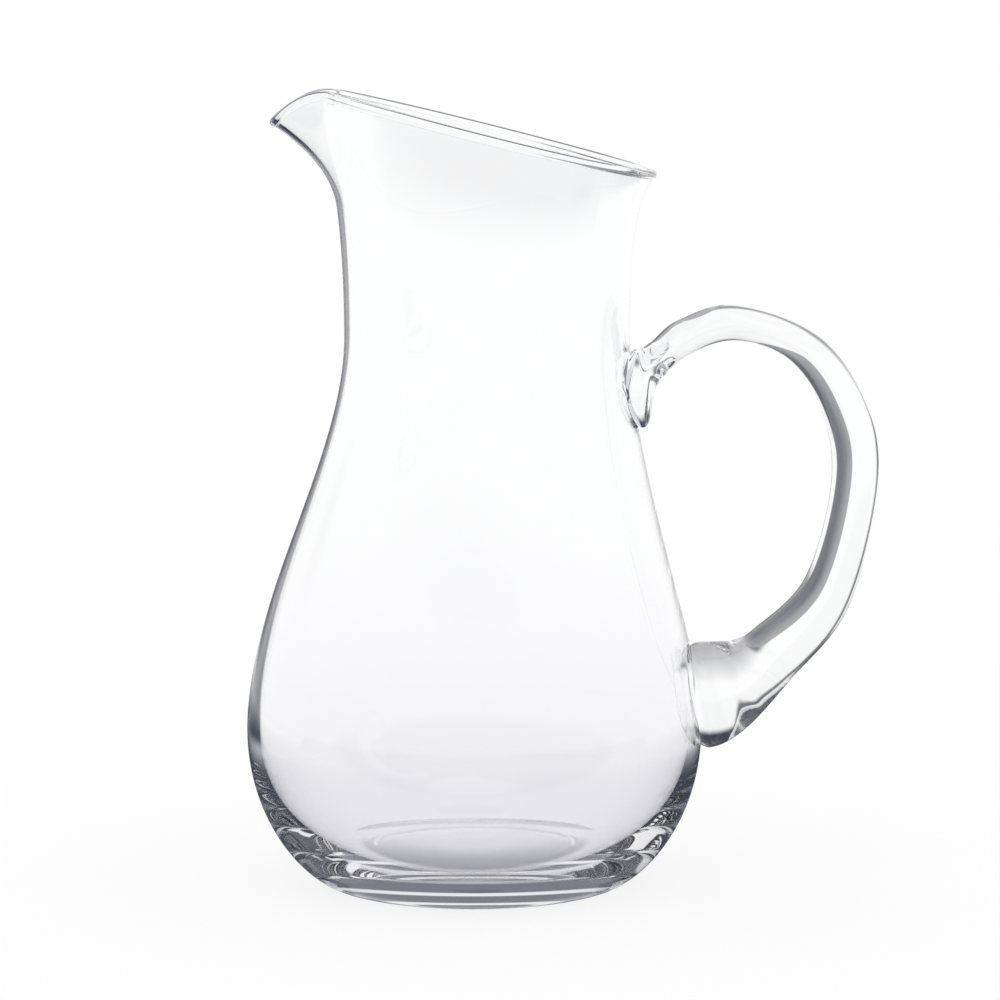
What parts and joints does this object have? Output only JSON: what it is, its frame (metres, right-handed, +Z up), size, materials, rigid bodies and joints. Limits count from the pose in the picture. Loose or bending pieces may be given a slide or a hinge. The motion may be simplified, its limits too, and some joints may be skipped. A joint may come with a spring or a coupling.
{
  "type": "glass pitcher",
  "caption": "Clear blown-glass pitcher with a pear-shaped body, slanted mouth, pulled pouring lip and a solid drawn side handle.",
  "frame": {"origin": "middle of the whole footprint, on the surface that the pitcher stands on; the belly's axis lies 28.35 mm from it towards -X", "axes": "+Z up along the vessel, spout towards -X, handle towards +X, +Y across"},
  "size_m": [0.2029, 0.146, 0.2535],
  "materials": {
    "glass": "clear, colourless, fire polished"
  },
  "bodies": {
    "root": {"vessel": "glass", "handle": "glass"}
  },
  "joints": []
}
